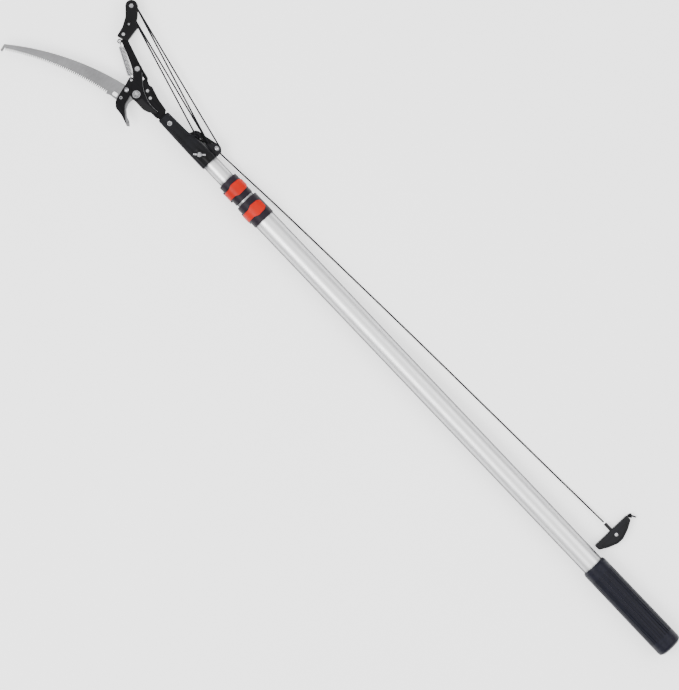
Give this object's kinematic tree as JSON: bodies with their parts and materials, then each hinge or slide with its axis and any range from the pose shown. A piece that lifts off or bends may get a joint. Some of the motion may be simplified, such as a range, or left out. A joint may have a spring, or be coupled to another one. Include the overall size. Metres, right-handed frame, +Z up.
{
  "type": "telescoping pole saw",
  "caption": "Telescoping pole with two lever clamps, a curved pruning saw, and a bypass lopper worked by a rope tackle and pull handle.",
  "frame": {"origin": "centre of the bounding box of everything but the loose pull cord, on the floor the tool lies on", "axes": "+X along the pole towards the cutting head, +Y towards the saw side, +Z up"},
  "size_m": [1.5012, 0.2346, 0.0541],
  "materials": {
    "pole_aluminium": "satin, brushed lengthwise",
    "grip_rubber": "matt, ribbed",
    "collar_plastic": "fine satin texture",
    "lever_plastic": "satin gloss orange-red",
    "bush_plastic": "moulded",
    "adapter_plastic": "semi-gloss glass-filled",
    "black_steel": "black low-friction coating",
    "saw_steel": "satin, ground",
    "counter_steel": "satin",
    "zinc": "bright zinc plated",
    "rivet_steel": "satin",
    "spring_steel": "bright drawn wire",
    "housing_plastic": "semi-gloss",
    "sheave_plastic": "moulded",
    "rope_fibre": "braided",
    "handle_plastic": "gloss"
  },
  "bodies": {
    "pole_outer": {"outer_tube": "pole_aluminium", "rubber_grip": "grip_rubber", "lower_guide_bush": "bush_plastic", "lower_clamp_collar": "collar_plastic", "lower_clamp_pin": "zinc", "lower_clamp_screw": "zinc"},
    "lower_lever": {"lower_clamp_lever": "lever_plastic"},
    "pole_middle": {"middle_tube": "pole_aluminium", "middle_end_bush": "bush_plastic", "upper_guide_bush": "bush_plastic", "upper_clamp_collar": "collar_plastic", "upper_clamp_pin": "zinc", "upper_clamp_screw": "zinc"},
    "upper_lever": {"upper_clamp_lever": "lever_plastic"},
    "head": {"inner_tube": "pole_aluminium", "inner_end_bush": "bush_plastic", "adapter_socket": "adapter_plastic", "adapter_bolt": "zinc", "adapter_nut": "zinc", "turning_pin": "zinc", "exit_sheave_pin": "zinc", "adapter_knot": "rope_fibre", "front_hook_plate": "black_steel", "back_hook_plate": "black_steel", "counter_blade": "counter_steel", "saw_blade": "saw_steel", "saw_carriage_bolt": "zinc", "saw_socket_screw": "zinc", "saw_nuts": "zinc", "frame_rivets": "rivet_steel", "main_bolt": "zinc", "main_washer": "zinc", "main_nut": "zinc", "arm_pivot_pin": "zinc", "tackle_rope": "rope_fibre", "pull_cord": "rope_fibre"},
    "wing": {"wing_bolt": "zinc"},
    "exit_wheel": {"exit_sheave": "sheave_plastic"},
    "blade": {"cutting_blade": "black_steel", "drive_bolt": "zinc", "drive_nut": "zinc"},
    "arm": {"lever_arm": "black_steel", "housing_front": "housing_plastic", "housing_back": "housing_plastic", "housing_hex_bolt": "zinc", "housing_socket_screw": "zinc", "housing_nuts": "zinc", "head_sheave_pin": "zinc"},
    "front_wheel": {"head_sheave_front": "sheave_plastic"},
    "back_wheel": {"head_sheave_back": "sheave_plastic"},
    "spring_top": {"spring_upper": "spring_steel"},
    "spring_bottom": {"spring_lower": "spring_steel"},
    "handle": {"pull_handle": "handle_plastic", "handle_knot": "rope_fibre"}
  },
  "joints": [
    {"name": "middle_slide", "type": "slide", "parent": "pole_outer", "child": "pole_middle", "axis": [1, 0, 0], "range_m": [0, 0.8]},
    {"name": "inner_slide", "type": "slide", "parent": "pole_middle", "child": "head", "axis": [1, 0, 0], "range_m": [0, 0.8]},
    {"name": "lower_lever_hinge", "type": "hinge", "parent": "pole_outer", "child": "lower_lever", "pos_m": [0.25935, 0.01207, 0.0157], "axis": [-1, 0, 0], "range_deg": [0, 110]},
    {"name": "upper_lever_hinge", "type": "hinge", "parent": "pole_middle", "child": "upper_lever", "pos_m": [0.30635, 0.01022, 0.01812], "axis": [-1, 0, 0], "range_deg": [0, 110]},
    {"name": "wing_turn", "type": "hinge", "parent": "head", "child": "wing", "pos_m": [0.38935, -0.00399, 0.045], "axis": [0, 0, 1], "range_deg": [0, 720]},
    {"name": "arm_swing", "type": "hinge", "parent": "head", "child": "arm", "pos_m": [0.53919, -0.0109, 0.0175], "axis": [0, 0, -1], "range_deg": [0, 93.7], "stiffness_Nm_per_rad": 1, "springref_deg": -20.05, "deforming": ["tackle_rope", "spring_upper", "spring_lower"]},
    {"name": "blade_pivot", "type": "hinge", "parent": "head", "child": "blade", "pos_m": [0.53635, 0.00281, 0.028], "axis": [0, 0, -1], "range_deg": [0, 66]},
    {"name": "front_wheel_spin", "type": "hinge", "parent": "arm", "child": "front_wheel", "pos_m": [0.64985, -0.09299, 0.0201], "axis": [0, 0, -1], "range_deg": [0, 1386]},
    {"name": "back_wheel_spin", "type": "hinge", "parent": "arm", "child": "back_wheel", "pos_m": [0.64985, -0.09299, 0.0149], "axis": [0, 0, -1], "range_deg": [0, 4266]},
    {"name": "exit_wheel_spin", "type": "hinge", "parent": "head", "child": "exit_wheel", "pos_m": [0.37835, -0.03149, 0.0149], "axis": [0, 0, -1], "range_deg": [0, 6399]},
    {"name": "spring_turn", "type": "hinge", "parent": "arm", "child": "spring_top", "pos_m": [0.62135, -0.03799, 0.0118], "axis": [0, 0, -1], "range_deg": [0, 2.38]},
    {"name": "spring_stretch", "type": "slide", "parent": "spring_top", "child": "spring_bottom", "axis": [-0.8959, 0.4443, 0], "range_m": [0, 0.0309]},
    {"name": "handle_pull", "type": "slide", "parent": "head", "child": "handle", "axis": [-1, 0, 0], "range_m": [0, 0.67], "deforming": ["pull_cord"]}
  ],
  "couplings": [
    {"joint": "blade_pivot", "follows": "arm_swing", "ratio": 0.70415},
    {"joint": "front_wheel_spin", "follows": "arm_swing", "ratio": 14.761},
    {"joint": "back_wheel_spin", "follows": "arm_swing", "ratio": 45.498},
    {"joint": "exit_wheel_spin", "follows": "arm_swing", "ratio": 68.27},
    {"joint": "spring_turn", "follows": "arm_swing", "ratio": 0.0243},
    {"joint": "spring_stretch", "follows": "arm_swing", "m_per_rad": 0.018575},
    {"joint": "handle_pull", "follows": "arm_swing", "m_per_rad": 0.40358}
  ]
}
